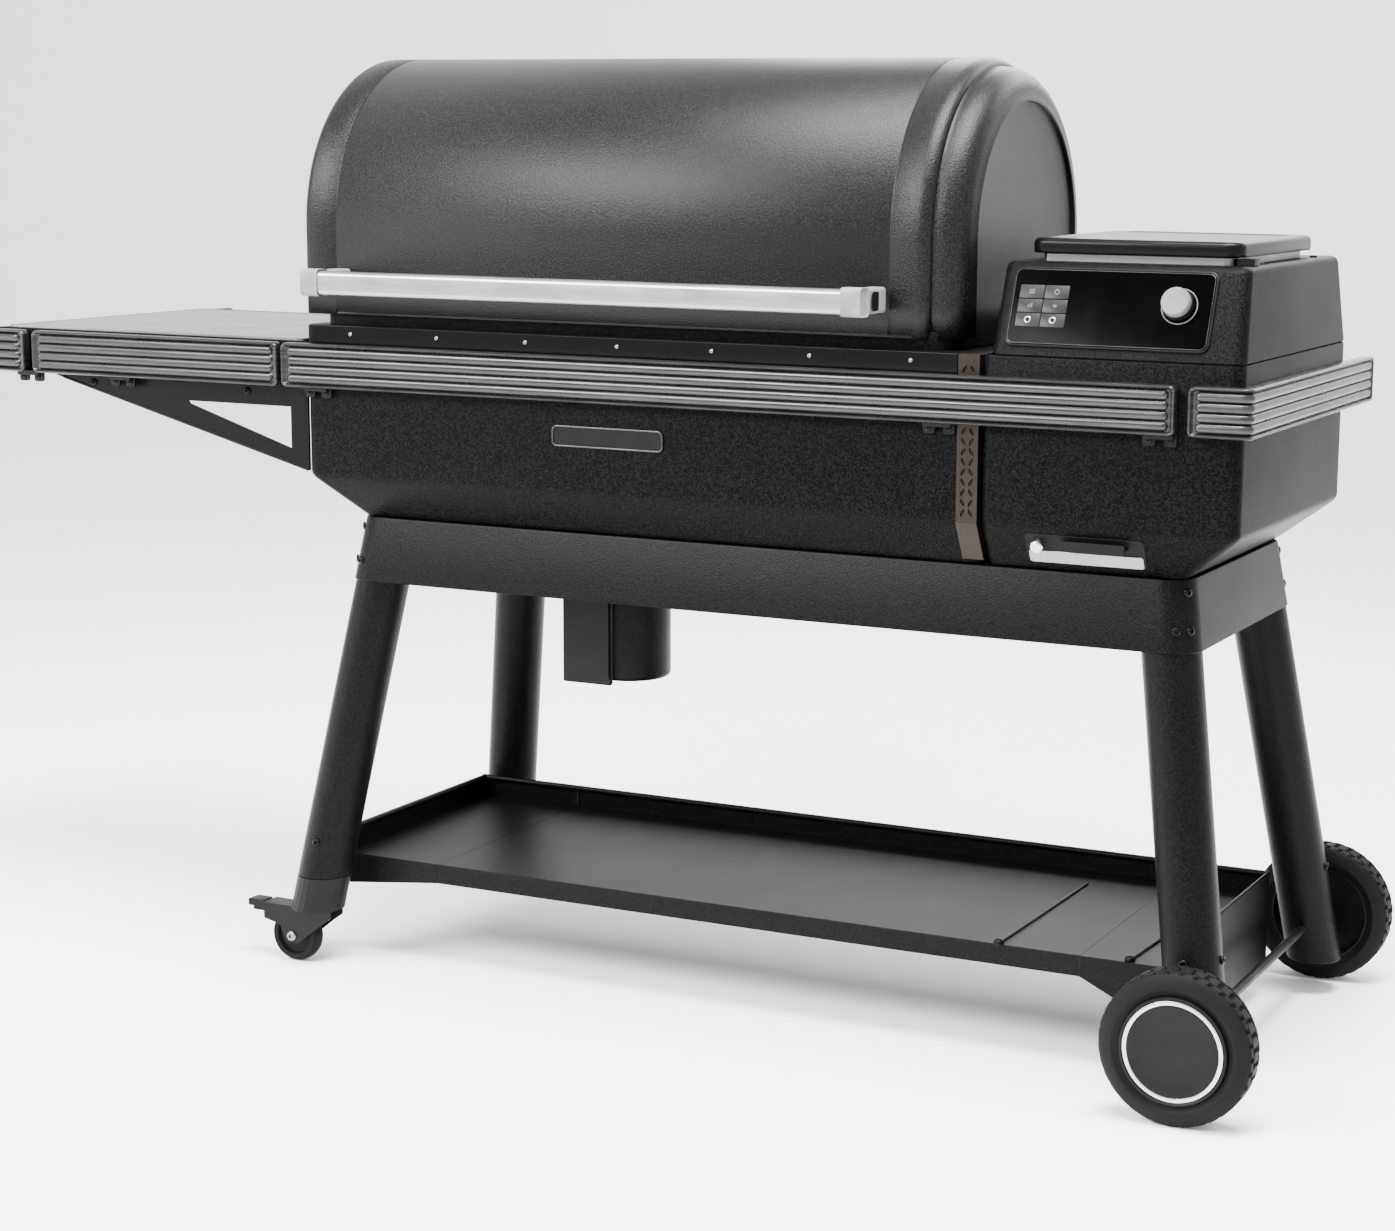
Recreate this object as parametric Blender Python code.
"""Pellet smoker grill, modelled in metres with +Z up.

The origin is on the ground under the middle of the grill. +X runs from the side shelf
to the pellet hopper, and the cook stands at -Y. Every sub-part is one object.
"""

import math

import bmesh
import bpy
from mathutils import Matrix, Vector

# Overall sizes
OVERALL_LENGTH = 1.894
OVERALL_DEPTH = 0.688
OVERALL_HEIGHT = 1.219

# Clearances
TOUCH = 0.0003
SLIP = 0.0008
LOOSE = 0.003

# Body: cook chamber and hopper cabinet
BODY_LENGTH = 1.283
BODY_DEPTH = 0.458
BODY_TOP = 0.870
BODY_BEND = 0.669
BODY_BASE = 0.616
SIDE_BEVEL = 0.070
FRONT_BEVEL = 0.029
BODY_WALL = 0.002
CORNER_RADIUS = 0.016
CABINET_LENGTH = 0.3195
STRIP_WIDTH = 0.027
STRIP_THICKNESS = 0.0015
STRIP_FOOT_GAP = 0.006
FASCIA_THICKNESS = 0.0025
LIP_WIDTH = 0.037
COLLAR_INSET = 0.0125
COLLAR_RADIUS = 0.056
COLLAR_RISE = 0.022
LIP_THICKNESS = 0.002
GRATE_LIP_DROP = 0.020
TRAY_LIP_DROP = 0.105

# Lid
LID_BASE = 0.884
LID_INSET = 0.008
LID_WALL = 0.002
LID_END_DEPTH = 0.062
LID_STEPS = 14
LID_SHOULDER = ((0.0, 0.0), (0.018, 0.0015), (0.034, 0.007), (0.048, 0.018), (0.058, 0.034), (0.062, 0.052))
HINGE_SETBACK = 0.016
HINGE_RADIUS = 0.0065
HINGE_WIDTH = 0.045
HINGE_LEAF = 0.003
HINGE_LEAF_HEIGHT = 0.035
HINGE_FOOT = 0.004
HINGE_PLACES = (0.22, 0.78)

# Handle
HANDLE_LEFT = 0.047
HANDLE_RIGHT = 0.094
HANDLE_REACH = 0.070
HANDLE_BLOCK = 0.026
HANDLE_HEIGHT = 0.0305
HANDLE_THICKNESS = 0.018
HANDLE_CENTRE = 0.929
HANDLE_EDGE = 0.004
HANDLE_BLOCK_EDGE = 0.003
HANDLE_BLOCK_LIP = 0.002

# Rails
RAIL_TOP = 0.8455
RAIL_HEIGHT = 0.0586
RAIL_STANDOFF = 0.016
RAIL_GAP = 0.0145
RAIL_SPLIT = 0.0062
RAIL_PAST_BODY = 0.028
RAIL_CORNER_LEG = 0.076
RAIL_OVERHANG = 0.086
RAIL_BEND_STEPS = 3
RAIL_CHAMFER = 0.003

# Side shelf
SHELF_TOP = 0.850
SHELF_PLATE = 0.003
SHELF_INSET = 0.012
SHELF_SHEET = 0.002
SHELF_SKIRT = 0.060
BRACKET_DROP = 0.112
BRACKET_REACH = 0.423
BRACKET_THICKNESS = 0.004
BRACKET_BAND = 0.028
BRACKET_FOOT_BAND = 0.020
BRACKET_WINDOW = 0.47
BRACKET_SET_IN = 0.006
BRACKET_TIP = 0.003
BRACKET_NOSE = 0.004
SHELF_CORNER = 0.012

# Stand
APRON_TOP = 0.6155
APRON_BASE = 0.530
APRON_LEFT = 0.0475
APRON_RIGHT = 0.0504
APRON_SET_IN = 0.01055
APRON_SHEET = 0.002
APRON_FLANGE = 0.030
LEG_RADIUS = 0.0362
LEG_WALL = 0.002
LEG_SPLAY_X = 0.1557
LEG_SPLAY_Y = 0.1544
LEG_SEGMENTS = 24
WHEEL_LEG_END = 0.045
CASTER_SEAM = 0.125
CASTER_TOP = 0.079
SPIGOT_LENGTH = 0.030

# Lower shelf
LOWER_FLOOR = 0.142
LOWER_RIM = 0.028
LOWER_LIP = 0.026
LOWER_SHEET = 0.002
LOWER_SIDE_GAP = 0.01033
LOWER_LEFT_END = 0.160
LOWER_RIGHT_END = 0.127
LOWER_LEFT_DEEP = 0.044
LOWER_RIGHT_DEEP = 0.086
LOWER_LEFT_SET = 0.010
LOWER_WHEEL_GAP = 0.042

# Wheels
WHEEL_RADIUS = 0.0927
WHEEL_WIDTH = 0.050
HUB_RADIUS = 0.0660
HUB_RIM = 0.0040
HUB_BOSS = 0.016
HUB_DISH = 0.001
WEB_SHARE = 0.5
CAP_SHARE = 0.3
AXLE_RADIUS = 0.006
AXLE_SHARE = 0.4
SEAT_SHARE = 0.8
TYRE_FILLET = 0.010
TYRE_CROWN = 0.002
TYRE_BEND = 0.007
WHEEL_SEGMENTS = 40
CASTER_RADIUS = 0.0366
CASTER_WIDTH = 0.022
CASTER_FILLET = 0.006
PIN_BORE = 0.005
CASTER_TRAIL = 0.034
CASTER_GAP = 0.0020
FORK_SHEET = 0.002
PEDAL_WIDTH = 0.020
PEDAL_OUTLINE = (
    (0.004, -0.004), (0.004, 0.003), (-0.010, 0.006), (-0.030, 0.013),
    (-0.034, 0.012), (-0.024, 0.001), (-0.010, -0.004),
)
PEDAL_PIN_GAP = 0.0045
PEDAL_PIN_RISE = 0.030

# Hopper and controls
HOOD_TOP = 0.978
HOOD_SET_IN = 0.010
HOOD_LEAN = 0.045
HOOD_REAR_LEAN = 0.010
HOOD_WALL = 0.002
MOUTH_X = (0.034, 0.270)
MOUTH_SET_FRONT = 0.034
MOUTH_SET_BACK = 0.074
BIN_OUTLET = 0.05
BIN_OUTLET_HEIGHT = 0.700
BIN_WALL = 0.0015
BIN_RISE = 0.008
BIN_KNEE = 0.060
BIN_CORNER = 0.008
MOUTH_CORNER = 0.012
HOPPER_LID_THICKNESS = 0.019
HOPPER_LID_OVERLAP = 0.012
LID_FOOT_EDGE = 0.003
LID_TOP_EDGE = 0.004
GLASS_LENGTH = 0.243
GLASS_HEIGHT = 0.092
GLASS_THICKNESS = 0.003
GLASS_FROM_LEFT = 0.020
GLASS_CENTRE = 0.52
GLASS_CORNER = 0.008
KNOB_RADIUS = 0.0190
KNOB_HEIGHT = 0.016
KNOB_LIFT = 0.0045
KNOB_EDGE = 0.002
KNOB_RAISE = 0.006
KNOB_FROM_RIGHT = 0.085
KNOB_SHAFT_RADIUS = 0.009
KNOB_SHAFT_INSIDE = 0.010
CUTTER_REACH = 0.010
ROCKER_LENGTH = 0.026
ROCKER_WIDTH = 0.016
ROCKER_THICKNESS = 0.008
ROCKER_HEIGHT = 0.760
ROCKER_FROM_RIGHT = 0.100
ROCKER_GAP = 0.001
ROCKER_DIP = 0.001
ROCKER_LOW_SHARE = 0.6

# Cooking parts
GRATE_THICKNESS = 0.005
GRATE_MARGIN = 0.030
GRATE_BARS = 18
GRATE_BAR = 0.010
RACK_SHEET = 0.004
RACK_HEIGHT = 0.120
RACK_HALF_DEPTH = 0.120
RACK_END_GAP = 0.060
TRAY_DEPTH = 0.016
TRAY_MARGIN = 0.0075
TRAY_SHEET = 0.0015
POT_RADIUS = 0.055
POT_HEIGHT = 0.095
POT_WALL = 0.003
POT_FROM_LEFT = 0.50
FEED_GAP = 0.004
AUGER_RADIUS = 0.022
AUGER_PITCH = 0.064
AUGER_BLADE = 0.007
AUGER_STEPS = 14
AUGER_START = 0.1
AUGER_HEIGHT = 0.668
AUGER_HOLE = 0.026
MOTOR_LENGTH = 0.055
MOTOR_HALF = 0.032
FAN_RADIUS = 0.045
FAN_WIDTH = 0.024
FAN_BLADES = 8
FAN_ROOT = 0.45
FAN_FROM_WALL = 0.050
FAN_OFFSET = 0.125
FAN_HEIGHT = 0.725
KEG_RADIUS = 0.056
KEG_BASE = 0.391
KEG_TOP = 0.600
KEG_WALL = 0.0015
KEG_EDGE = 0.006
KEG_BEND = 0.002
KEG_FROM_LEFT = 0.365
KEG_HANDLE_OFFSET = 0.0308
KEG_HANDLE_DROP = 0.004
KEG_HANDLE_WIDTH = 0.070
KEG_HANDLE_HEIGHT = 0.120
KEG_HANDLE_THICKNESS = 0.012
LEVER_LENGTH = 0.082
LEVER_HEIGHT = 0.012
LEVER_THICKNESS = 0.004
LEVER_FROM_RIGHT = 0.133
LEVER_DROP = 0.019
LEVER_STEM = 0.002
LEVER_PROUD = 0.006

# Places that follow from the sizes above
LEG_INSET = LEG_RADIUS + APRON_SHEET + TOUCH
WHEEL_OUT = LEG_SPLAY_X * (APRON_BASE - WHEEL_RADIUS) - LEG_INSET
RIGHT = OVERALL_LENGTH / 2 - WHEEL_RADIUS - WHEEL_OUT + APRON_RIGHT
LEFT = RIGHT - BODY_LENGTH
FRONT = -BODY_DEPTH / 2
BACK = BODY_DEPTH / 2
CHAMBER_RIGHT = RIGHT - CABINET_LENGTH
CABINET_LEFT = CHAMBER_RIGHT + TOUCH
LID_RIGHT = CHAMBER_RIGHT - STRIP_WIDTH - LOOSE
LID_HALF = BODY_DEPTH / 2 - LID_INSET
LID_ARC_CENTRE = OVERALL_HEIGHT - LID_HALF
RAIL_BASE = RAIL_TOP - RAIL_HEIGHT
RAIL_SEAT = STRIP_THICKNESS + 2 * TOUCH
SHELF_LEFT = -OVERALL_LENGTH / 2 + RAIL_STANDOFF
APRON_X0 = LEFT + APRON_LEFT
APRON_X1 = RIGHT - APRON_RIGHT
APRON_Y1 = BACK - APRON_SET_IN
WHEEL_X = APRON_X1 + WHEEL_OUT
RIM_DROP = APRON_BASE - LOWER_FLOOR - LOWER_RIM
LOWER_HALF_DEPTH = APRON_Y1 - LEG_INSET + LEG_SPLAY_Y * RIM_DROP - LEG_RADIUS - LOWER_SIDE_GAP
MOUTH_Y = (FRONT + HOOD_LEAN + MOUTH_SET_FRONT, BACK - HOOD_REAR_LEAN - MOUTH_SET_BACK)
FRONT_SLOPE = FRONT_BEVEL / (BODY_BEND - BODY_BASE)

LOOKS = {
    "black_paint": ((0.012, 0.012, 0.013), 0.45, 0.0),
    "satin_black": ((0.02, 0.02, 0.021), 0.35, 0.0),
    "gunmetal": ((0.11, 0.11, 0.115), 0.35, 0.9),
    "brushed_metal": ((0.62, 0.62, 0.63), 0.3, 1.0),
    "cast_grey": ((0.45, 0.45, 0.46), 0.5, 0.6),
    "bronze": ((0.30, 0.22, 0.17), 0.4, 0.9),
    "glass_black": ((0.005, 0.005, 0.006), 0.05, 0.0),
    "rubber": ((0.018, 0.018, 0.018), 0.8, 0.0),
    "black_plastic": ((0.02, 0.02, 0.02), 0.5, 0.0),
    "bare_steel": ((0.35, 0.35, 0.36), 0.4, 1.0),
}


def clear_scene():
    """Remove every object that the scene starts with."""
    for obj in list(bpy.data.objects):
        bpy.data.objects.remove(obj, do_unlink=True)


def material(look):
    """Return the shared material of a look."""
    found = bpy.data.materials.get(look)
    if found:
        return found
    colour, roughness, metallic = LOOKS[look]
    made = bpy.data.materials.new(look)
    made.use_nodes = True
    shader = made.node_tree.nodes["Principled BSDF"]
    shader.inputs["Base Color"].default_value = (*colour, 1.0)
    shader.inputs["Roughness"].default_value = roughness
    shader.inputs["Metallic"].default_value = metallic
    return made


def add_object(name, verts, faces, look, origin=(0, 0, 0), smooth=False, outward=True):
    """Add one mesh object whose origin is at a chosen point."""
    base = Vector(origin)
    mesh = bpy.data.meshes.new(name)
    mesh.from_pydata([tuple(Vector(v) - base) for v in verts], [], faces)
    shape = bmesh.new()
    shape.from_mesh(mesh)
    if outward:
        bmesh.ops.recalc_face_normals(shape, faces=shape.faces)
    shape.to_mesh(mesh)
    shape.free()
    if smooth:
        mesh.shade_smooth()
        mesh.set_sharp_from_angle(angle=math.radians(35))
    obj = bpy.data.objects.new(name, mesh)
    obj.location = base
    bpy.context.scene.collection.objects.link(obj)
    if look:
        mesh.materials.append(material(look))
    return obj


def skin(name, rings, look, loop=False, origin=(0, 0, 0), smooth=False):
    """Join rings of equal length with side faces, closed by caps or back on themselves."""
    count = len(rings[0])
    verts = [point for ring in rings for point in ring]
    faces = []
    pairs = len(rings) if loop else len(rings) - 1
    for row in range(pairs):
        low = row * count
        high = (row + 1) % len(rings) * count
        for i in range(count):
            j = (i + 1) % count
            faces.append((low + i, low + j, high + j, high + i))
    if not loop:
        faces.append(tuple(range(count)))
        faces.append(tuple(range(len(verts) - count, len(verts))))
    return add_object(name, verts, faces, look, origin, smooth)


def place(axis, along, first, second):
    """Return the point at a distance along an axis and at two cross coordinates."""
    if axis == "x":
        return (along, first, second)
    if axis == "y":
        return (first, along, second)
    return (first, second, along)


def prism(name, outline, axis, low, high, look, origin=(0, 0, 0), smooth=False):
    """Extrude an outline along an axis between two places."""
    rings = [[place(axis, along, a, b) for a, b in outline] for along in (low, high)]
    return skin(name, rings, look, origin=origin, smooth=smooth)


def turned(name, profile, axis, centre, look, segments, loop=False, origin=None):
    """Turn a profile of (radius, offset) round an axis through a centre."""
    rings = []
    for radius, offset in profile:
        ring = []
        for i in range(segments):
            angle = 2 * math.pi * i / segments
            spot = Vector(place(axis, offset, radius * math.cos(angle), radius * math.sin(angle)))
            ring.append(tuple(spot + Vector(centre)))
        rings.append(ring)
    return skin(name, rings, look, loop, origin or centre, smooth=True)


def sheet(name, verts, faces, thickness, look, grow=-1.0, origin=(0, 0, 0), smooth=False):
    """Add an open surface and give it a thickness on the side opposite its normals."""
    obj = add_object(name, verts, faces, look, origin, smooth, outward=False)
    solid = obj.modifiers.new("thickness", "SOLIDIFY")
    solid.thickness = thickness
    solid.offset = grow
    solid.use_even_offset = True
    return obj


def rounded_rectangle(x0, x1, y0, y1, radius, steps=4):
    """Return the plan outline of a rectangle with rounded corners."""
    points = []
    corners = ((x1, y1, 0), (x0, y1, 90), (x0, y0, 180), (x1, y0, 270))
    for x, y, start in corners:
        cx = x - radius if x == x1 else x + radius
        cy = y - radius if y == y1 else y + radius
        for step in range(steps + 1):
            angle = math.radians(start + 90 * step / steps)
            points.append((cx + radius * math.cos(angle), cy + radius * math.sin(angle)))
    return points


def level(outline, z):
    """Lift a plan outline to a height."""
    return [(x, y, z) for x, y in outline]


def cut(obj, cutter):
    """Subtract a cutter from an object."""
    boolean = obj.modifiers.new("cut", "BOOLEAN")
    boolean.operation = "DIFFERENCE"
    boolean.solver = "EXACT"
    boolean.object = cutter


def join(obj, other):
    """Unite an object with a hidden shape that overlaps it."""
    boolean = obj.modifiers.new("join", "BOOLEAN")
    boolean.operation = "UNION"
    boolean.solver = "EXACT"
    boolean.object = other


def as_cutter(obj):
    """Hide a cutting shape."""
    obj.hide_render = True
    obj.display_type = "WIRE"
    return obj


def cylinder_cutter(name, axis, centre, radius, low, high, segments=24):
    """Return a hidden cylinder between two offsets from its centre."""
    return as_cutter(turned(name, ((radius, low), (radius, high)), axis, centre, None, segments))


# --- stand -----------------------------------------------------------------------------


def apron_section(z, inset):
    """Return the rounded outline of the apron at a height, offset inward."""
    rise = z - APRON_BASE
    dx = LEG_SPLAY_X * rise + inset
    dy = LEG_SPLAY_Y * rise + inset
    radius = LEG_INSET - inset
    corner = max(radius, 0.004)
    plan = (APRON_X0 + dx, APRON_X1 - dx, -APRON_Y1 + dy, APRON_Y1 - dy)
    return level(rounded_rectangle(*plan, corner, LEG_SEGMENTS // 4), z)


def build_apron():
    under = APRON_TOP - APRON_SHEET
    rings = [
        apron_section(APRON_BASE, 0),
        apron_section(APRON_TOP, 0),
        apron_section(APRON_TOP, APRON_FLANGE),
        apron_section(under, APRON_FLANGE),
        apron_section(under, APRON_SHEET),
        apron_section(APRON_BASE, APRON_SHEET),
    ]
    skin("apron_frame", rings, "black_paint", loop=True)


def leg_centre(side_x, side_y, z):
    """Return the middle of a leg at a height; the sides are -1 or 1."""
    drop = APRON_BASE - z
    x = APRON_X0 + LEG_INSET if side_x < 0 else APRON_X1 - LEG_INSET
    y = side_y * (APRON_Y1 - LEG_INSET)
    return (x + side_x * LEG_SPLAY_X * drop, y + side_y * LEG_SPLAY_Y * drop, z)


def leg_ring(side_x, side_y, z, radius):
    """Return a level circle round a leg's middle."""
    x, y, _ = leg_centre(side_x, side_y, z)
    turns = [2 * math.pi * i / LEG_SEGMENTS for i in range(LEG_SEGMENTS)]
    return [(x + radius * math.cos(a), y + radius * math.sin(a), z) for a in turns]


def build_legs(axle_cutter):
    top = APRON_TOP - APRON_SHEET - SLIP
    for side_x, along in ((-1, "left"), (1, "right")):
        base = CASTER_SEAM + TOUCH if side_x < 0 else WHEEL_LEG_END
        for side_y, across in ((-1, "front"), (1, "rear")):
            inner = LEG_RADIUS - LEG_WALL
            rings = [
                leg_ring(side_x, side_y, base, LEG_RADIUS),
                leg_ring(side_x, side_y, top, LEG_RADIUS),
                leg_ring(side_x, side_y, top, inner),
                leg_ring(side_x, side_y, base, inner),
            ]
            leg = skin(f"leg_{across}_{along}", rings, "black_paint", loop=True, smooth=True)
            if side_x > 0:
                cut(leg, axle_cutter)


def build_caster_socket(side_y, across):
    """Make the plug that closes a leg and carries the caster."""
    spigot = LEG_RADIUS - LEG_WALL - TOUCH
    plan = (
        (CASTER_TOP, LEG_RADIUS), (CASTER_SEAM, LEG_RADIUS),
        (CASTER_SEAM, spigot), (CASTER_SEAM + SPIGOT_LENGTH, spigot),
    )
    rings = [leg_ring(-1, side_y, z, radius) for z, radius in plan]
    skin(f"caster_socket_{across}", rings, "satin_black", smooth=True)


def fork_ring(x, y, low, half):
    """Return the upside-down U section of a caster fork."""
    top = CASTER_TOP - TOUCH
    inner = half - FORK_SHEET
    under = top - FORK_SHEET
    outline = (
        (-half, low), (-half, top), (half, top), (half, low),
        (inner, low), (inner, under), (-inner, under), (-inner, low),
    )
    return [(x, y + a, b) for a, b in outline]


def build_caster(side_y, across):
    x, y, _ = leg_centre(-1, side_y, CASTER_TOP)
    wheel_x = x - CASTER_TRAIL
    half = CASTER_WIDTH / 2 + CASTER_GAP + FORK_SHEET
    top = CASTER_TOP
    axle = CASTER_RADIUS
    stations = (
        (x + 0.030, top - 0.010), (x + 0.016, top - 0.020),
        (wheel_x + 0.010, axle - 0.010), (wheel_x - 0.010, axle - 0.010),
        (wheel_x - 0.020, axle + 0.014), (wheel_x - 0.046, axle + 0.020),
    )
    rings = [fork_ring(at, y, low, half) for at, low in stations]
    skin(f"caster_fork_{across}", rings, "satin_black", origin=(x, y, CASTER_TOP))
    edge = CASTER_WIDTH / 2
    profile = (
        (PIN_BORE, -edge),
        (CASTER_RADIUS - CASTER_FILLET, -edge),
        (CASTER_RADIUS, -edge + CASTER_FILLET),
        (CASTER_RADIUS, edge - CASTER_FILLET),
        (CASTER_RADIUS - CASTER_FILLET, edge),
        (PIN_BORE, edge),
    )
    turned(f"caster_wheel_{across}", profile, "y", (wheel_x, y, CASTER_RADIUS), "rubber", 28)
    build_pedal(across, wheel_x, y)


def build_pedal(across, wheel_x, y):
    """Make the brake pedal, which turns on a pin between the fork's rear arms."""
    pin_x = wheel_x - CASTER_RADIUS - PEDAL_PIN_GAP
    pin_z = CASTER_RADIUS + PEDAL_PIN_RISE
    outline = [(pin_x + along, pin_z + up) for along, up in PEDAL_OUTLINE]
    low = y - PEDAL_WIDTH / 2
    origin = (pin_x, y, pin_z)
    prism(f"brake_pedal_{across}", outline, "y", low, low + PEDAL_WIDTH, "black_plastic", origin)


def build_lower_shelf():
    """Make the three folded sheets of the lower shelf."""
    half = LOWER_HALF_DEPTH
    floor = LOWER_FLOOR
    rim = floor + LOWER_RIM
    low = floor - LOWER_LIP
    left = LEFT + LOWER_LEFT_SET
    left_seam = left + LOWER_LEFT_END
    right = WHEEL_X - LOWER_WHEEL_GAP
    right_seam = right - LOWER_RIGHT_END
    sections = (
        ("lower_shelf_centre", left_seam + TOUCH, right_seam - TOUCH, low, low, 0),
        ("lower_shelf_left", left_seam - TOUCH, left, low, floor - LOWER_LEFT_DEEP, -1),
        ("lower_shelf_right", right_seam + TOUCH, right, low, floor - LOWER_RIGHT_DEEP, 1),
    )
    for name, seam, end, seam_low, end_low, side in sections:
        verts = [
            (seam, -half, floor), (end, -half, floor), (end, half, floor), (seam, half, floor),
            (seam, -half, seam_low), (end, -half, end_low),
            (seam, half, rim), (end, half, rim),
        ]
        faces = [(0, 1, 2, 3), (4, 5, 1, 0), (3, 2, 7, 6)]
        if side < 0:
            verts += [(end, -half, rim)]
            faces += [(1, 8, 7, 2)]
            faces = [tuple(reversed(face)) for face in faces]
        shelf = sheet(name, verts, faces, LOWER_SHEET, "satin_black")
        if side > 0:
            join(shelf, lower_end_plate(end, rim, end_low))


def lower_end_plate(end, rim, low):
    """Return the tall plate that the right end of the lower shelf carries between the legs."""
    half = LOWER_HALF_DEPTH + LOWER_SHEET
    outline = ((-half, rim + 0.001), (half, rim + 0.001), (half, low - 0.001), (-half, low - 0.001))
    return as_cutter(prism("end_plate", outline, "x", end - LOWER_SHEET / 2, end + LOWER_SHEET / 2, None))


def build_wheels():
    half_depth = OVERALL_DEPTH / 2
    centre = (WHEEL_X, 0, WHEEL_RADIUS)
    reach = half_depth - WHEEL_WIDTH * AXLE_SHARE
    turned("axle", ((AXLE_RADIUS, -reach), (AXLE_RADIUS, reach)), "y", centre, "bare_steel", 16)
    for side, across in ((-1, "front"), (1, "rear")):
        outer = side * half_depth
        inner = side * (half_depth - WHEEL_WIDTH)
        middle = (WHEEL_X, (outer + inner) / 2, WHEEL_RADIUS)
        half = WHEEL_WIDTH / 2
        tread = WHEEL_RADIUS
        profile = (
            (HUB_RADIUS + TOUCH, -half * SEAT_SHARE), (HUB_RADIUS + TYRE_FILLET, -half),
            (tread - TYRE_FILLET, -half), (tread - TYRE_CROWN, -half + TYRE_BEND), (tread, 0),
            (tread - TYRE_CROWN, half - TYRE_BEND), (tread - TYRE_FILLET, half),
            (HUB_RADIUS + TYRE_FILLET, half), (HUB_RADIUS + TOUCH, half * SEAT_SHARE),
        )
        turned(f"tyre_{across}", profile, "y", middle, "rubber", WHEEL_SEGMENTS, loop=True)
        bore = AXLE_RADIUS + TOUCH
        blind = side * (half - WHEEL_WIDTH * AXLE_SHARE + SLIP)
        hub = (
            (bore, blind), (bore, -side * half),
            (HUB_BOSS, -side * half), (HUB_BOSS, side * half * WEB_SHARE),
            (HUB_RADIUS - HUB_RIM, side * half * WEB_SHARE),
            (HUB_RADIUS - HUB_RIM, -side * half * SEAT_SHARE),
            (HUB_RADIUS, -side * half * SEAT_SHARE), (HUB_RADIUS, side * half * SEAT_SHARE),
            (HUB_RADIUS - HUB_RIM, side * (half - HUB_DISH)),
            (HUB_RADIUS * CAP_SHARE, side * (half - HUB_DISH)),
        )
        turned(f"hub_{across}", hub, "y", middle, "black_plastic", WHEEL_SEGMENTS)


# --- body ------------------------------------------------------------------------------


def body_section(x0, x1, z, inset, bevel_left, bevel_right):
    """Return a body outline at a height, drawn in below the bend."""
    share = max(0.0, (BODY_BEND - z) / (BODY_BEND - BODY_BASE))
    dx0 = inset + bevel_left * share
    dx1 = inset + bevel_right * share
    dy = inset + FRONT_BEVEL * share
    radius = max(CORNER_RADIUS - inset, 0.003)
    return level(rounded_rectangle(x0 + dx0, x1 - dx1, FRONT + dy, BACK - dy, radius, 3), z)


def build_chamber(auger_cutter):
    """Make the tub: a collar inside the lid, and inner lips for the grate and the tray."""
    def ring(z, inset):
        return body_section(LEFT, CHAMBER_RIGHT, z, inset, SIDE_BEVEL, 0)

    def collar(z, inset):
        right = CHAMBER_RIGHT - STRIP_WIDTH - LOOSE
        plan = (LEFT + inset, right - inset, FRONT + inset, BACK - inset)
        return level(rounded_rectangle(*plan, COLLAR_RADIUS - inset, 3), z)

    rim = BODY_TOP + COLLAR_RISE
    rings = [ring(BODY_BASE, 0), ring(BODY_BEND, 0), ring(BODY_TOP, 0)]
    rings += [collar(BODY_TOP, COLLAR_INSET), collar(rim, COLLAR_INSET)]
    rings += [collar(rim, COLLAR_INSET + BODY_WALL), collar(BODY_TOP - BODY_WALL, COLLAR_INSET + BODY_WALL)]
    rings += [ring(BODY_TOP - BODY_WALL, BODY_WALL)]
    for drop in (GRATE_LIP_DROP, TRAY_LIP_DROP):
        upper = BODY_TOP - drop
        lower = upper - LIP_THICKNESS
        rings += [ring(upper, BODY_WALL), ring(upper, BODY_WALL + LIP_WIDTH)]
        rings += [ring(lower, BODY_WALL + LIP_WIDTH), ring(lower, BODY_WALL)]
    rings += [ring(BODY_BEND, BODY_WALL), ring(BODY_BASE + BODY_WALL, BODY_WALL)]
    tub = skin("chamber_tub", rings, "black_paint")
    cut(tub, auger_cutter)


def build_cabinet(auger_cutter, rocker_cutter):
    """Make the hopper cabinet beside the chamber."""
    def ring(z, inset):
        return body_section(CABINET_LEFT, RIGHT, z, inset, 0, SIDE_BEVEL)

    rings = [ring(BODY_BASE, 0), ring(BODY_BEND, 0), ring(BODY_TOP, 0), ring(BODY_TOP, BODY_WALL)]
    rings += [ring(BODY_BEND, BODY_WALL), ring(BODY_BASE + BODY_WALL, BODY_WALL)]
    cabinet = skin("hopper_cabinet", rings, "black_paint")
    cut(cabinet, auger_cutter)
    cut(cabinet, rocker_cutter)


def build_front_trim():
    """Make the vented strip that hides the joint and the fascia under the lid."""
    inner = FRONT - TOUCH
    outer = inner - STRIP_THICKNESS
    foot = BODY_BASE + STRIP_FOOT_GAP
    lean = FRONT_SLOPE * (BODY_BEND - foot)
    outline = (
        (inner, BODY_TOP), (outer, BODY_TOP), (outer, BODY_BEND),
        (outer + lean, foot), (inner + lean, foot), (inner, BODY_BEND),
    )
    left = CHAMBER_RIGHT - STRIP_WIDTH
    prism("vent_strip", outline, "x", left, CHAMBER_RIGHT, "bronze")
    low = RAIL_TOP + SLIP
    fascia = (
        (inner, low), (inner - FASCIA_THICKNESS, low),
        (inner - FASCIA_THICKNESS, BODY_TOP), (inner, BODY_TOP),
    )
    start = LEFT + CORNER_RADIUS
    prism("front_fascia", fascia, "x", start, left - SLIP, "satin_black")


# --- lid -------------------------------------------------------------------------------


def lid_profile(inset):
    """Return the lid's arch from the front edge over the top to the rear edge."""
    radius = LID_HALF - inset
    points = [(-radius, LID_BASE)]
    for step in range(LID_STEPS + 1):
        angle = math.pi - math.pi * step / LID_STEPS
        points.append((radius * math.cos(angle), LID_ARC_CENTRE + radius * math.sin(angle)))
    points.append((radius, LID_BASE))
    return points


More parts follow.
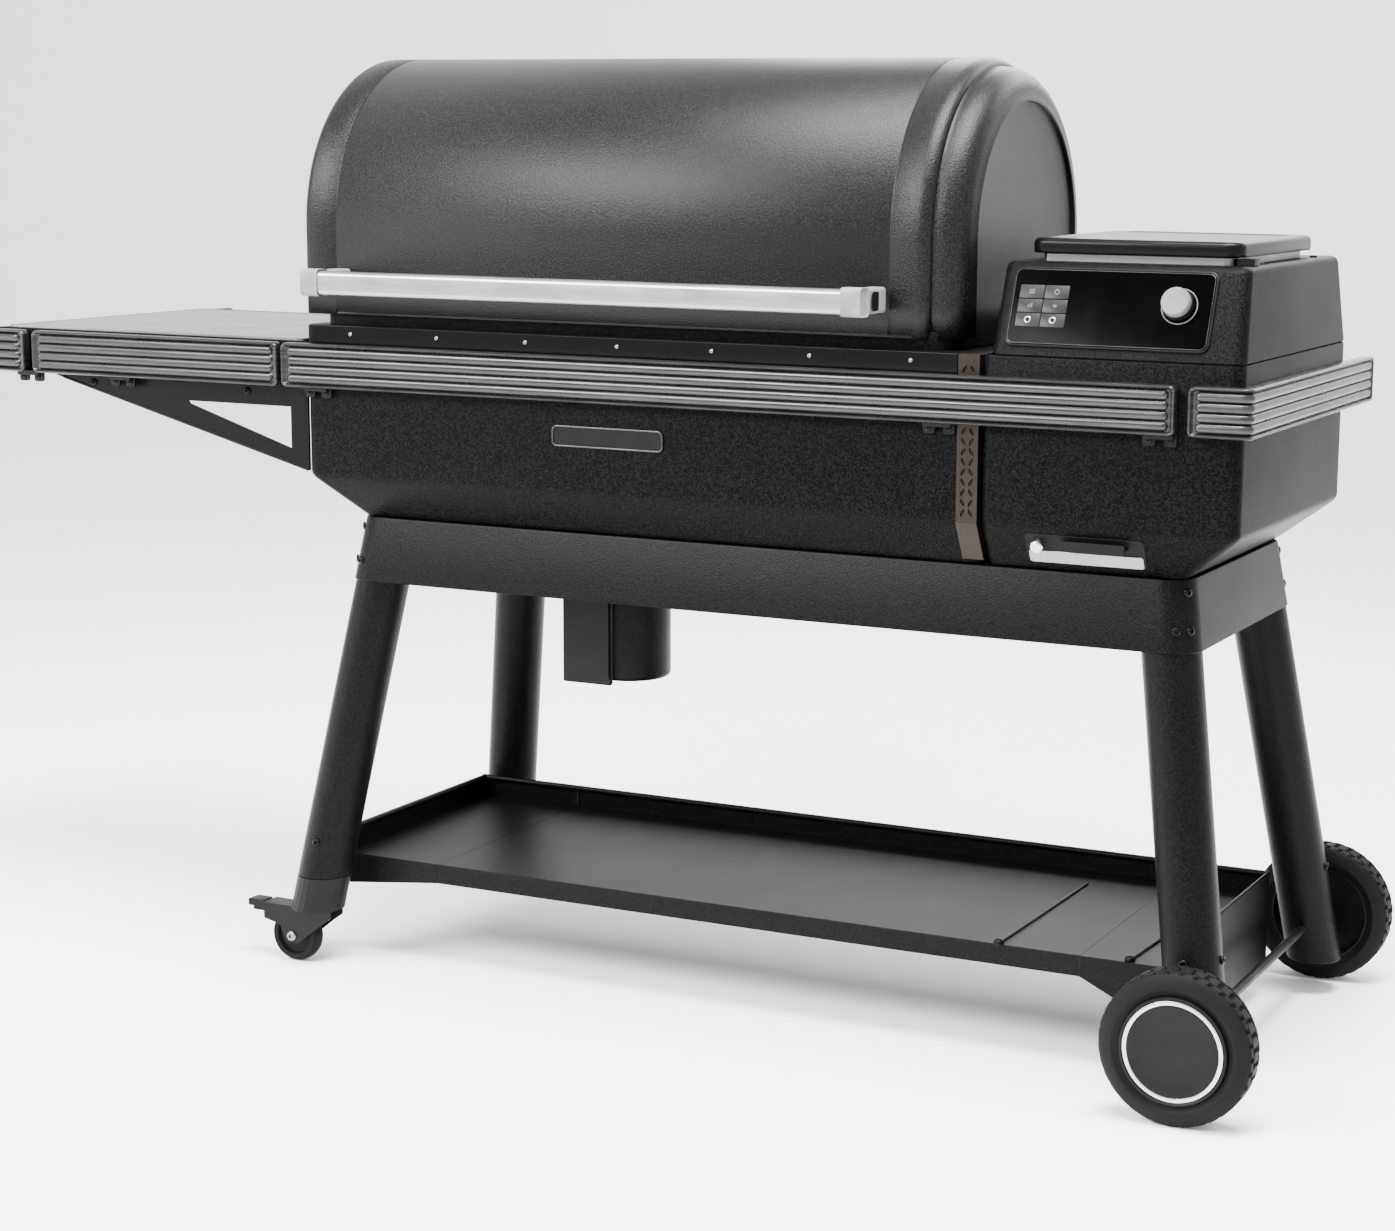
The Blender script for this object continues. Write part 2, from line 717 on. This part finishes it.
def build_lid():
    left = LEFT + LID_END_DEPTH
    right = LID_RIGHT - LID_END_DEPTH
    band = lid_profile(0) + lid_profile(LID_WALL)[::-1]
    prism("lid_shell", band, "x", left + TOUCH, right - TOUCH, "black_paint", lid_origin(), smooth=True)
    for side, start, name in ((-1, left, "lid_end_left"), (1, right, "lid_end_right")):
        stations = [(start + side * (along + TOUCH), inset) for along, inset in LID_SHOULDER]
        verts = []
        for x, inset in stations:
            verts += [(x, y, z) for y, z in lid_profile(inset)]
        count = len(lid_profile(0))
        faces = []
        for row in range(len(stations) - 1):
            for i in range(count - 1):
                low = row * count + i
                faces.append((low, low + 1, low + count + 1, low + count))
        faces.append(tuple(range(len(verts) - count, len(verts))))
        if side > 0:
            faces = [tuple(reversed(face)) for face in faces]
        sheet(name, verts, faces, LID_WALL, "black_paint", origin=lid_origin(), smooth=True)


def lid_origin():
    """Return a point on the lid's hinge axis."""
    return (0, LID_HALF + HINGE_SETBACK, LID_BASE)


def build_hinges():
    """Make two hinges, each a leaf on the lid and a leaf on the body with half a barrel each."""
    axis_y = LID_HALF + HINGE_SETBACK
    lid_length = LID_RIGHT - LEFT
    for share, along in zip(HINGE_PLACES, ("left", "right")):
        start = LEFT + share * lid_length
        for side, owner, wall in ((1, "lid", LID_HALF), (-1, "body", BACK)):
            wall_y = wall + TOUCH
            outline = [(wall_y, LID_BASE + side * HINGE_FOOT)]
            outline += [(wall_y, LID_BASE + side * HINGE_LEAF_HEIGHT)]
            outline += [(wall_y + HINGE_LEAF, LID_BASE + side * HINGE_LEAF_HEIGHT)]
            outline += [(wall_y + HINGE_LEAF, LID_BASE + side * HINGE_RADIUS)]
            for step in range(9):
                angle = side * math.radians(90 - 270 * step / 8)
                y = axis_y + HINGE_RADIUS * math.cos(angle)
                outline.append((y, LID_BASE + HINGE_RADIUS * math.sin(angle)))
            low = start if side > 0 else start + HINGE_WIDTH + SLIP
            name = f"{owner}_hinge_{along}"
            prism(name, outline, "x", low, low + HINGE_WIDTH, "bare_steel", lid_origin())


def build_handle():
    """Make the handle bar and its two end blocks."""
    front = -LID_HALF - LID_INSET - HANDLE_REACH
    left = LEFT + HANDLE_LEFT
    right = LID_RIGHT - HANDLE_RIGHT
    low = HANDLE_CENTRE - HANDLE_HEIGHT / 2
    high = HANDLE_CENTRE + HANDLE_HEIGHT / 2
    bar = rounded_rectangle(front, front + HANDLE_THICKNESS, low, high, HANDLE_EDGE, 2)
    start = left + HANDLE_BLOCK + TOUCH
    end = right - HANDLE_BLOCK - TOUCH
    prism("handle_bar", bar, "x", start, end, "brushed_metal", lid_origin(), smooth=True)
    back = -LID_HALF - TOUCH
    lip = HANDLE_BLOCK_LIP
    block = rounded_rectangle(front - lip / 2, back, low - lip, high + lip, HANDLE_BLOCK_EDGE, 2)
    for x, along in ((left, "left"), (right - HANDLE_BLOCK, "right")):
        prism(f"handle_block_{along}", block, "x", x, x + HANDLE_BLOCK, "cast_grey", lid_origin())


# --- rails and side shelf --------------------------------------------------------------


def rail_ring(x, y, out_x, out_y):
    """Return the upright section of a rail at a plan point with its outward direction."""
    depth = RAIL_STANDOFF - RAIL_SEAT
    section = (
        (0, RAIL_BASE), (depth - RAIL_CHAMFER, RAIL_BASE), (depth, RAIL_BASE + RAIL_CHAMFER),
        (depth, RAIL_TOP - RAIL_CHAMFER), (depth - RAIL_CHAMFER, RAIL_TOP), (0, RAIL_TOP),
    )
    return [(x + out_x * out, y + out_y * out, z) for out, z in section]


def build_rails():
    inner = FRONT - RAIL_SEAT
    reach = RAIL_CORNER_LEG - RAIL_STANDOFF
    main_end = RIGHT - reach - RAIL_GAP
    main_start = LEFT - RAIL_PAST_BODY
    shelf_start = SHELF_LEFT + reach + RAIL_GAP
    straight = (
        ("rail_main", main_start, main_end),
        ("rail_side_shelf", shelf_start, main_start - RAIL_SPLIT),
    )
    for name, start, end in straight:
        skin(name, [rail_ring(start, inner, 0, -1), rail_ring(end, inner, 0, -1)], "gunmetal")
    for side, wall, along in ((-1, SHELF_LEFT, "left"), (1, RIGHT, "right")):
        rings = [rail_ring(wall - side * reach, inner, 0, -1)]
        wall_x = wall + side * RAIL_SEAT
        for step in range(RAIL_BEND_STEPS + 1):
            angle = math.radians(90 * step / RAIL_BEND_STEPS)
            rings.append(rail_ring(wall_x, inner, side * math.sin(angle), -math.cos(angle)))
        rings.append(rail_ring(wall_x, BACK + RAIL_OVERHANG, side, 0))
        skin(f"rail_corner_{along}", rings, "gunmetal")


def build_side_shelf():
    """Make the folded shelf frame, its steel top and its two brackets."""
    x0 = SHELF_LEFT
    x1 = LEFT - TOUCH
    top = SHELF_TOP - SHELF_PLATE - TOUCH
    low = top - SHELF_SKIRT
    verts = [
        (x0, FRONT, top), (x1, FRONT, top), (x1, BACK, top), (x0, BACK, top),
        (x0, FRONT, low), (x1, FRONT, low), (x1, BACK, low), (x0, BACK, low),
    ]
    faces = [(0, 1, 2, 3), (4, 5, 1, 0), (6, 7, 3, 2), (7, 4, 0, 3)]
    sheet("side_shelf_frame", verts, faces, SHELF_SHEET, "satin_black")
    inset = SHELF_INSET
    plate = rounded_rectangle(x0 + inset, x1 - inset / 2, FRONT + inset / 2, BACK - inset, SHELF_CORNER, 4)
    low_plate = SHELF_TOP - SHELF_PLATE
    skin("side_shelf_top", [level(plate, low_plate), level(plate, SHELF_TOP)], "brushed_metal")
    build_brackets(low - TOUCH, x1)


def build_brackets(top, wall):
    """Make the triangular shelf brackets, each a plate with a triangular window."""
    foot = top - BRACKET_DROP
    tip = wall - BRACKET_REACH
    outer = [(wall, top), (tip, top), (tip, top - BRACKET_TIP), (wall - BRACKET_NOSE, foot), (wall, foot)]
    slope = (top - foot) / BRACKET_REACH
    right = wall - BRACKET_BAND
    left = wall - BRACKET_REACH * BRACKET_WINDOW
    high = top - BRACKET_BAND
    low = top - slope * (right - tip) + BRACKET_FOOT_BAND
    window = [(right, high), (left, high), (left + BRACKET_TIP, high - BRACKET_NOSE), (right, low)]
    for side, across in ((-1, "front"), (1, "rear")):
        y0 = side * (BACK - BRACKET_SET_IN)
        y1 = y0 - side * BRACKET_THICKNESS
        cut_from = y0 + side * CUTTER_REACH
        cut_to = y1 - side * CUTTER_REACH
        bracket = prism(f"shelf_bracket_{across}", outer, "y", y0, y1, "satin_black")
        hole = prism(f"bracket_window_{across}", window, "y", cut_from, cut_to, None)
        cut(bracket, as_cutter(hole))


# --- hopper, controls ------------------------------------------------------------------


def hood_section(z, inset):
    """Return the hood's outline at a height; its front leans back."""
    share = (z - BODY_TOP) / (HOOD_TOP - BODY_TOP)
    y0 = FRONT + HOOD_LEAN * share + inset
    y1 = BACK - HOOD_REAR_LEAN * share - inset
    x0 = CABINET_LEFT + HOOD_SET_IN + inset
    x1 = RIGHT - HOOD_REAR_LEAN * share - inset
    return level(rounded_rectangle(x0, x1, y0, y1, max(CORNER_RADIUS - inset, 0.004), 3), z)


def mouth_section(z, grow):
    """Return the outline of the hopper's mouth, grown outward."""
    x0 = CABINET_LEFT + HOOD_SET_IN + MOUTH_X[0] - grow
    x1 = CABINET_LEFT + HOOD_SET_IN + MOUTH_X[1] + grow
    y0 = MOUTH_Y[0] - grow
    y1 = MOUTH_Y[1] + grow
    return level(rounded_rectangle(x0, x1, y0, y1, MOUTH_CORNER + grow, 3), z)


def build_hood(knob_cutter):
    base = BODY_TOP + TOUCH
    rings = [
        hood_section(base, 0),
        hood_section(HOOD_TOP, 0),
        mouth_section(HOOD_TOP, SLIP),
        mouth_section(HOOD_TOP - HOOD_WALL, SLIP),
        hood_section(HOOD_TOP - HOOD_WALL, HOOD_WALL),
        hood_section(base, HOOD_WALL),
    ]
    hood = skin("control_hood", rings, "black_paint", loop=True)
    cut(hood, knob_cutter)


def build_hopper():
    """Make the pellet bin and its lid."""
    middle_x = CABINET_LEFT + HOOD_SET_IN + sum(MOUTH_X) / 2
    half = BIN_OUTLET

    def outlet(z, inset):
        size = half - inset
        return level(rounded_rectangle(middle_x - size, middle_x + size, -size, size, BIN_CORNER, 3), z)

    top = HOOD_TOP + BIN_RISE
    knee = HOOD_TOP - BIN_KNEE
    rings = [
        outlet(BIN_OUTLET_HEIGHT, 0), mouth_section(knee, 0), mouth_section(top, 0),
        mouth_section(top, -BIN_WALL), mouth_section(knee, -BIN_WALL), outlet(BIN_OUTLET_HEIGHT, BIN_WALL),
    ]
    skin("hopper_bin", rings, "bare_steel", loop=True)
    low = top + TOUCH
    high = low + HOPPER_LID_THICKNESS
    grow = HOPPER_LID_OVERLAP
    hinge = (middle_x, MOUTH_Y[1] + grow, low)
    rings = [mouth_section(low, grow - LID_FOOT_EDGE), mouth_section(low + LID_TOP_EDGE, grow)]
    rings += [mouth_section(high - LID_TOP_EDGE, grow), mouth_section(high, grow - LID_TOP_EDGE)]
    skin("hopper_lid", rings, "black_paint", origin=hinge)


def panel_frame():
    """Return the control panel's turn and the point at the middle of its front."""
    lean = math.atan2(HOOD_LEAN, HOOD_TOP - BODY_TOP)
    turn = Matrix.Rotation(math.pi / 2 - lean, 4, "X")
    length = math.hypot(HOOD_LEAN, HOOD_TOP - BODY_TOP)
    up = Vector((0, math.sin(lean), math.cos(lean)))
    left = CABINET_LEFT + HOOD_SET_IN + GLASS_FROM_LEFT
    middle = Vector((left + GLASS_LENGTH / 2, FRONT, BODY_TOP)) + up * (length * GLASS_CENTRE)
    return turn, middle


def put_on_panel(obj, across, up):
    """Turn an object built round local Z so that it stands on the control panel."""
    turn, middle = panel_frame()
    spot = middle + turn.to_3x3() @ Vector((across, up, 0))
    obj.matrix_world = Matrix.Translation(spot) @ turn
    return obj


def knob_place():
    """Return the knob's place on the panel, across and up from its middle."""
    right = RIGHT - KNOB_FROM_RIGHT
    _, middle = panel_frame()
    return (right - middle.x, KNOB_RAISE)


def knob_hole():
    """Return the hidden cutter for the knob's shaft."""
    radius = KNOB_SHAFT_RADIUS + SLIP
    profile = ((radius, -2 * CUTTER_REACH), (radius, 2 * CUTTER_REACH))
    hole = turned("knob_hole", profile, "z", (0, 0, 0), None, 24)
    return as_cutter(put_on_panel(hole, *knob_place()))


def build_controls(knob_cutter):
    """Make the glass panel, the pressing shaft and the knob on it."""
    half_x = GLASS_LENGTH / 2
    half_y = GLASS_HEIGHT / 2
    plan = rounded_rectangle(-half_x, half_x, -half_y, half_y, GLASS_CORNER, 3)
    glass = skin("control_glass", [level(plan, TOUCH), level(plan, GLASS_THICKNESS)], "glass_black")
    put_on_panel(glass, 0, 0)
    cut(glass, knob_cutter)
    lift = GLASS_THICKNESS + KNOB_LIFT
    profile = ((KNOB_SHAFT_RADIUS, -KNOB_SHAFT_INSIDE), (KNOB_SHAFT_RADIUS, lift - TOUCH))
    shaft = turned("knob_shaft", profile, "z", (0, 0, 0), "black_plastic", 24)
    put_on_panel(shaft, *knob_place())
    profile = (
        (KNOB_RADIUS, lift), (KNOB_RADIUS, lift + KNOB_HEIGHT - KNOB_EDGE),
        (KNOB_RADIUS - KNOB_EDGE, lift + KNOB_HEIGHT),
    )
    knob = turned("knob", profile, "z", (0, 0, 0), "cast_grey", 32)
    put_on_panel(knob, *knob_place())


def rocker_place():
    """Return the rocker switch's middle on the cabinet's rear wall."""
    return (RIGHT - ROCKER_FROM_RIGHT, BACK, ROCKER_HEIGHT)


def rocker_hole():
    """Return the hidden cutter for the rocker switch."""
    x, y, z = rocker_place()
    half_x = ROCKER_WIDTH / 2 + ROCKER_GAP
    half_z = ROCKER_LENGTH / 2 + ROCKER_GAP
    outline = (
        (x - half_x, z - half_z), (x + half_x, z - half_z),
        (x + half_x, z + half_z), (x - half_x, z + half_z),
    )
    return as_cutter(prism("rocker_hole", outline, "y", y - CUTTER_REACH, y + CUTTER_REACH, None))


def build_rocker():
    x, y, z = rocker_place()
    half = ROCKER_LENGTH / 2
    proud = ROCKER_THICKNESS / 2
    outline = (
        (y - proud, z - half), (y + proud, z - half), (y + ROCKER_DIP, z),
        (y + proud * ROCKER_LOW_SHARE, z + half), (y - proud, z + half),
    )
    low = x - ROCKER_WIDTH / 2
    prism("rocker_switch", outline, "x", low, low + ROCKER_WIDTH, "black_plastic", (x, y, z))


def build_clean_out():
    """Make the lever of the pellet clean-out on the front bevel."""
    middle = RIGHT - LEVER_FROM_RIGHT - LEVER_LENGTH / 2
    z = BODY_BEND - LEVER_DROP
    root = FRONT + FRONT_SLOPE * (LEVER_DROP - LEVER_STEM / 2) - TOUCH
    y = FRONT - LEVER_PROUD
    back = y + LEVER_THICKNESS
    stem = LEVER_STEM / 2
    half = LEVER_HEIGHT / 2
    outline = (
        (y, z - half), (back, z - half), (back, z - stem), (root, z - stem),
        (root, z + stem), (back, z + stem), (back, z + half), (y, z + half),
    )
    low = middle - LEVER_LENGTH / 2
    prism("clean_out_lever", outline, "x", low, low + LEVER_LENGTH, "black_plastic", (middle, y, z))


# --- fire and food ---------------------------------------------------------------------


def slotted(x0, x1, y0, y1, bars, rows, bar):
    """Return the cell corners and faces of a flat plate with rows of slots."""
    pitch = (x1 - x0 - bar) / bars
    xs = [x0]
    for i in range(bars):
        xs += [x0 + bar + i * pitch, x0 + (i + 1) * pitch]
    xs.append(x1)
    depth = (y1 - y0 - bar) / rows
    ys = [y0]
    for i in range(rows):
        ys += [y0 + bar + i * depth, y0 + (i + 1) * depth]
    ys.append(y1)
    verts = [(x, y) for y in ys for x in xs]
    width = len(xs)
    faces = []
    for row in range(len(ys) - 1):
        for col in range(width - 1):
            if row % 2 and col % 2:
                continue
            low = row * width + col
            faces.append((low, low + 1, low + width + 1, low + width))
    return verts, faces


def build_grates():
    """Make the main grate on its lip and the rack that stands on it."""
    margin = BODY_WALL + GRATE_MARGIN
    x0 = LEFT + margin
    x1 = LID_RIGHT - margin
    half = BACK - margin
    top = BODY_TOP - GRATE_LIP_DROP + TOUCH + GRATE_THICKNESS
    verts, faces = slotted(x0, x1, -half, half, GRATE_BARS, 2, GRATE_BAR)
    points = [(x, y, top) for x, y in verts]
    sheet("main_grate", points, faces, GRATE_THICKNESS, "bare_steel", smooth=False)
    x0 += RACK_END_GAP
    x1 -= RACK_END_GAP
    rack_top = top + RACK_HEIGHT
    verts, faces = slotted(x0, x1, -RACK_HALF_DEPTH, RACK_HALF_DEPTH, GRATE_BARS - 4, 1, GRATE_BAR)
    points = [(x, y, rack_top) for x, y in verts]
    width = 2 * (GRATE_BARS - 4) + 2
    rows = len(verts) // width
    foot = top + TOUCH
    for column in (0, width - 1):
        start = len(points)
        edge = [verts[row * width + column] for row in range(rows)]
        points += [(x, y, foot) for x, y, *_ in edge]
        for row in range(rows - 1):
            upper = row * width + column
            quad = (upper, upper + width, start + row + 1, start + row)
            faces.append(tuple(reversed(quad)) if column else quad)
    sheet("upper_rack", points, faces, RACK_SHEET, "bare_steel")


def build_drip_tray():
    """Make the shallow grease tray on the lower lip."""
    margin = BODY_WALL + TRAY_MARGIN
    x0 = LEFT + margin
    x1 = CHAMBER_RIGHT - margin
    half = BACK - margin
    low = BODY_TOP - TRAY_LIP_DROP + TOUCH + TRAY_SHEET
    high = low + TRAY_DEPTH
    verts = [(x0, -half, low), (x1, -half, low), (x1, half, low), (x0, half, low)]
    verts += [(x, y, high) for x, y, _ in verts]
    faces = [(0, 1, 2, 3), (4, 5, 1, 0), (5, 6, 2, 1), (6, 7, 3, 2), (7, 4, 0, 3)]
    sheet("drip_tray", verts, faces, TRAY_SHEET, "bare_steel")


def build_fire():
    """Make the fire pot, the auger that feeds it, its motor and the fan."""
    pot_x = LEFT + POT_FROM_LEFT
    base = BODY_BASE + BODY_WALL + TOUCH
    profile = (
        (POT_RADIUS, 0), (POT_RADIUS, POT_HEIGHT),
        (POT_RADIUS - POT_WALL, POT_HEIGHT), (POT_RADIUS - POT_WALL, POT_WALL),
    )
    turned("fire_pot", profile, "z", (pot_x, 0, base), "bare_steel", 24)
    start = pot_x + POT_RADIUS + FEED_GAP
    motor = RIGHT - SIDE_BEVEL - MOTOR_LENGTH - FEED_GAP
    length = motor - SLIP - start
    turns_in_all = round(length / AUGER_PITCH)
    stations = turns_in_all * AUGER_STEPS
    rings = []
    for step in range(stations + 1):
        angle = 2 * math.pi * turns_in_all * step / stations + AUGER_START
        blade = ((AUGER_RADIUS, 0), (0, AUGER_BLADE), (-AUGER_RADIUS, 0), (0, -AUGER_BLADE))
        ring = []
        for a, b in blade:
            y = a * math.cos(angle) - b * math.sin(angle)
            z = a * math.sin(angle) + b * math.cos(angle)
            ring.append((start + length * step / stations, y, AUGER_HEIGHT + z))
        rings.append(ring)
    skin("auger", rings, "bare_steel", origin=(start, 0, AUGER_HEIGHT))
    low = AUGER_HEIGHT - MOTOR_HALF
    high = AUGER_HEIGHT + MOTOR_HALF
    box = rounded_rectangle(-MOTOR_HALF, MOTOR_HALF, low, high, 0.006, 2)
    prism("auger_motor", box, "x", motor, motor + MOTOR_LENGTH, "satin_black")
    fan_x = CABINET_LEFT + FAN_FROM_WALL
    outline = []
    for step in range(FAN_BLADES):
        angle = 2 * math.pi * step / FAN_BLADES
        for radius, shift in ((FAN_RADIUS, -0.10), (FAN_RADIUS, 0.02), (FAN_RADIUS * FAN_ROOT, 0.12)):
            turn = angle + shift
            outline.append((FAN_OFFSET + radius * math.cos(turn), FAN_HEIGHT + radius * math.sin(turn)))
    prism("fan", outline, "x", fan_x, fan_x + FAN_WIDTH, "bare_steel", (fan_x, FAN_OFFSET, FAN_HEIGHT))


def build_keg():
    """Make the grease keg that hangs under the chamber, and its handle."""
    x = LEFT + KEG_FROM_LEFT
    height = KEG_TOP - KEG_BASE
    profile = (
        (KEG_RADIUS - KEG_EDGE, 0), (KEG_RADIUS, KEG_EDGE), (KEG_RADIUS, height),
        (KEG_RADIUS - KEG_WALL, height), (KEG_RADIUS - KEG_WALL, KEG_EDGE),
        (KEG_RADIUS - KEG_EDGE - KEG_BEND, KEG_WALL),
    )
    turned("grease_keg", profile, "z", (x, 0, KEG_BASE), "satin_black", 32)
    y = -KEG_RADIUS - TOUCH
    middle = x - KEG_HANDLE_OFFSET
    low = KEG_BASE - KEG_HANDLE_DROP
    outline = rounded_rectangle(middle - KEG_HANDLE_WIDTH / 2, middle + KEG_HANDLE_WIDTH / 2,
                                low, low + KEG_HANDLE_HEIGHT, KEG_EDGE, 2)
    prism("keg_handle", outline, "y", y - KEG_HANDLE_THICKNESS, y, "black_plastic")


def main():
    clear_scene()
    reach = OVERALL_DEPTH / 2 - WHEEL_WIDTH
    wheel_centre = (WHEEL_X, 0, WHEEL_RADIUS)
    axle_cutter = cylinder_cutter("axle_hole", "y", wheel_centre, AXLE_RADIUS + SLIP, -reach, reach, 16)
    feed_centre = (CHAMBER_RIGHT, 0, AUGER_HEIGHT)
    auger_cutter = cylinder_cutter("auger_hole", "x", feed_centre, AUGER_HOLE, -CUTTER_REACH, CUTTER_REACH)
    knob_cutter = knob_hole()
    build_apron()
    build_legs(axle_cutter)
    for side_y, across in ((-1, "front"), (1, "rear")):
        build_caster_socket(side_y, across)
        build_caster(side_y, across)
    build_lower_shelf()
    build_wheels()
    build_chamber(auger_cutter)
    build_cabinet(auger_cutter, rocker_hole())
    build_front_trim()
    build_lid()
    build_hinges()
    build_handle()
    build_rails()
    build_side_shelf()
    build_hood(knob_cutter)
    build_hopper()
    build_controls(knob_cutter)
    build_rocker()
    build_clean_out()
    build_grates()
    build_drip_tray()
    build_fire()
    build_keg()


main()
